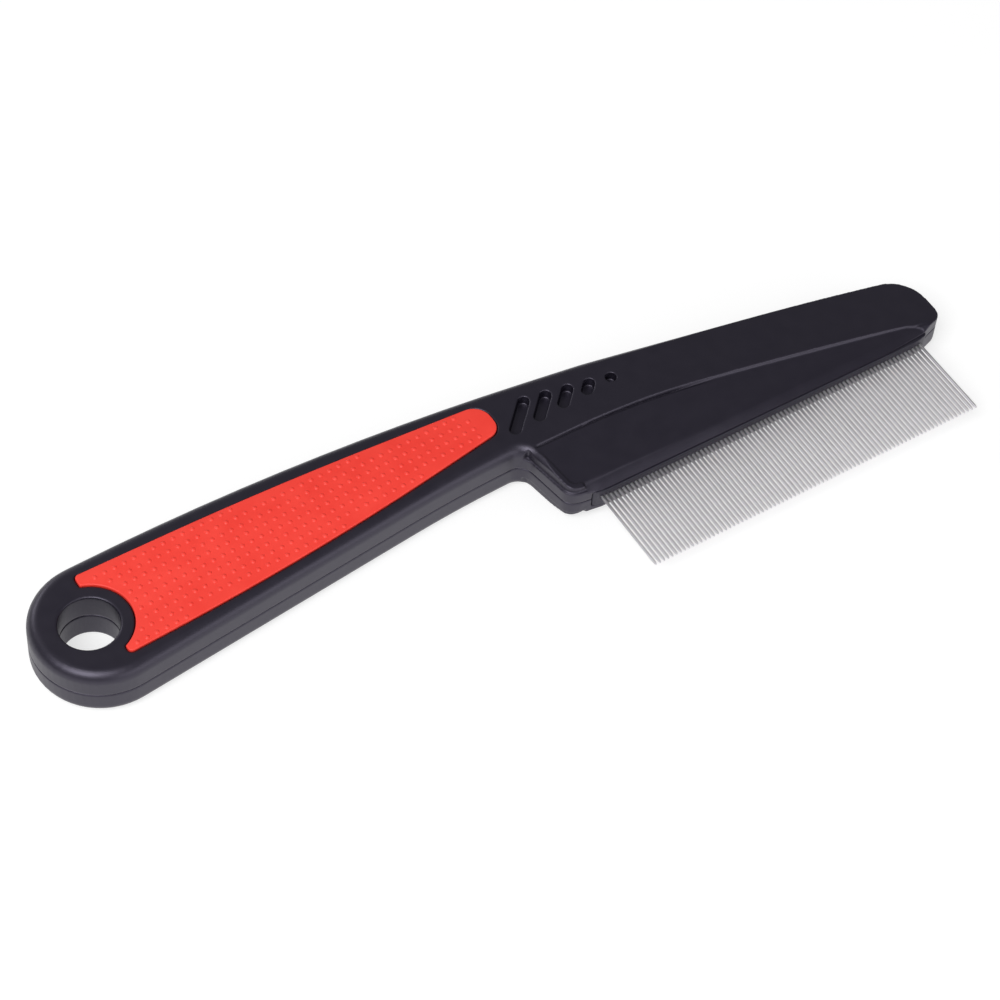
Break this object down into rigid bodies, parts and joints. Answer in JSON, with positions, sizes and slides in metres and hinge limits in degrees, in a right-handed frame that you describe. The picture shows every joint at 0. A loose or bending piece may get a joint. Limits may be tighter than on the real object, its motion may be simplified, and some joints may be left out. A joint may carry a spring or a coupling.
{
  "type": "flea comb",
  "caption": "Fine-pinned flea comb: a moulded two-half handle with soft grips and a hanging hole, and one row of close steel pins along the head.",
  "frame": {"origin": "on the axis of the hanging hole, at the handle's rear face", "axes": "+X along the handle towards the head's tip, -Y the way the pins point, +Z out of the front face"},
  "size_m": [0.183, 0.0495, 0.0109],
  "materials": {
    "front_shell_plastic": "satin",
    "rear_shell_plastic": "satin",
    "grip_rubber": "soft matte",
    "bar_plastic": "satin",
    "pin_steel": "polished wire"
  },
  "bodies": {
    "root": {"front_shell": "front_shell_plastic", "rear_shell": "rear_shell_plastic", "front_grip": "grip_rubber", "rear_grip": "grip_rubber", "pin_bar": "bar_plastic", "pins_01": "pin_steel", "pins_02": "pin_steel", "pins_03": "pin_steel", "pins_04": "pin_steel", "pins_05": "pin_steel", "pins_06": "pin_steel", "pins_07": "pin_steel", "pins_08": "pin_steel", "pins_09": "pin_steel", "pins_10": "pin_steel", "pins_11": "pin_steel", "pins_12": "pin_steel", "pins_13": "pin_steel", "pins_14": "pin_steel", "pins_15": "pin_steel", "pins_16": "pin_steel", "pins_17": "pin_steel", "pins_18": "pin_steel", "pins_19": "pin_steel", "pins_20": "pin_steel", "pins_21": "pin_steel", "pins_22": "pin_steel", "pins_23": "pin_steel", "pins_24": "pin_steel", "pins_25": "pin_steel", "pins_26": "pin_steel", "pins_27": "pin_steel"}
  },
  "joints": []
}
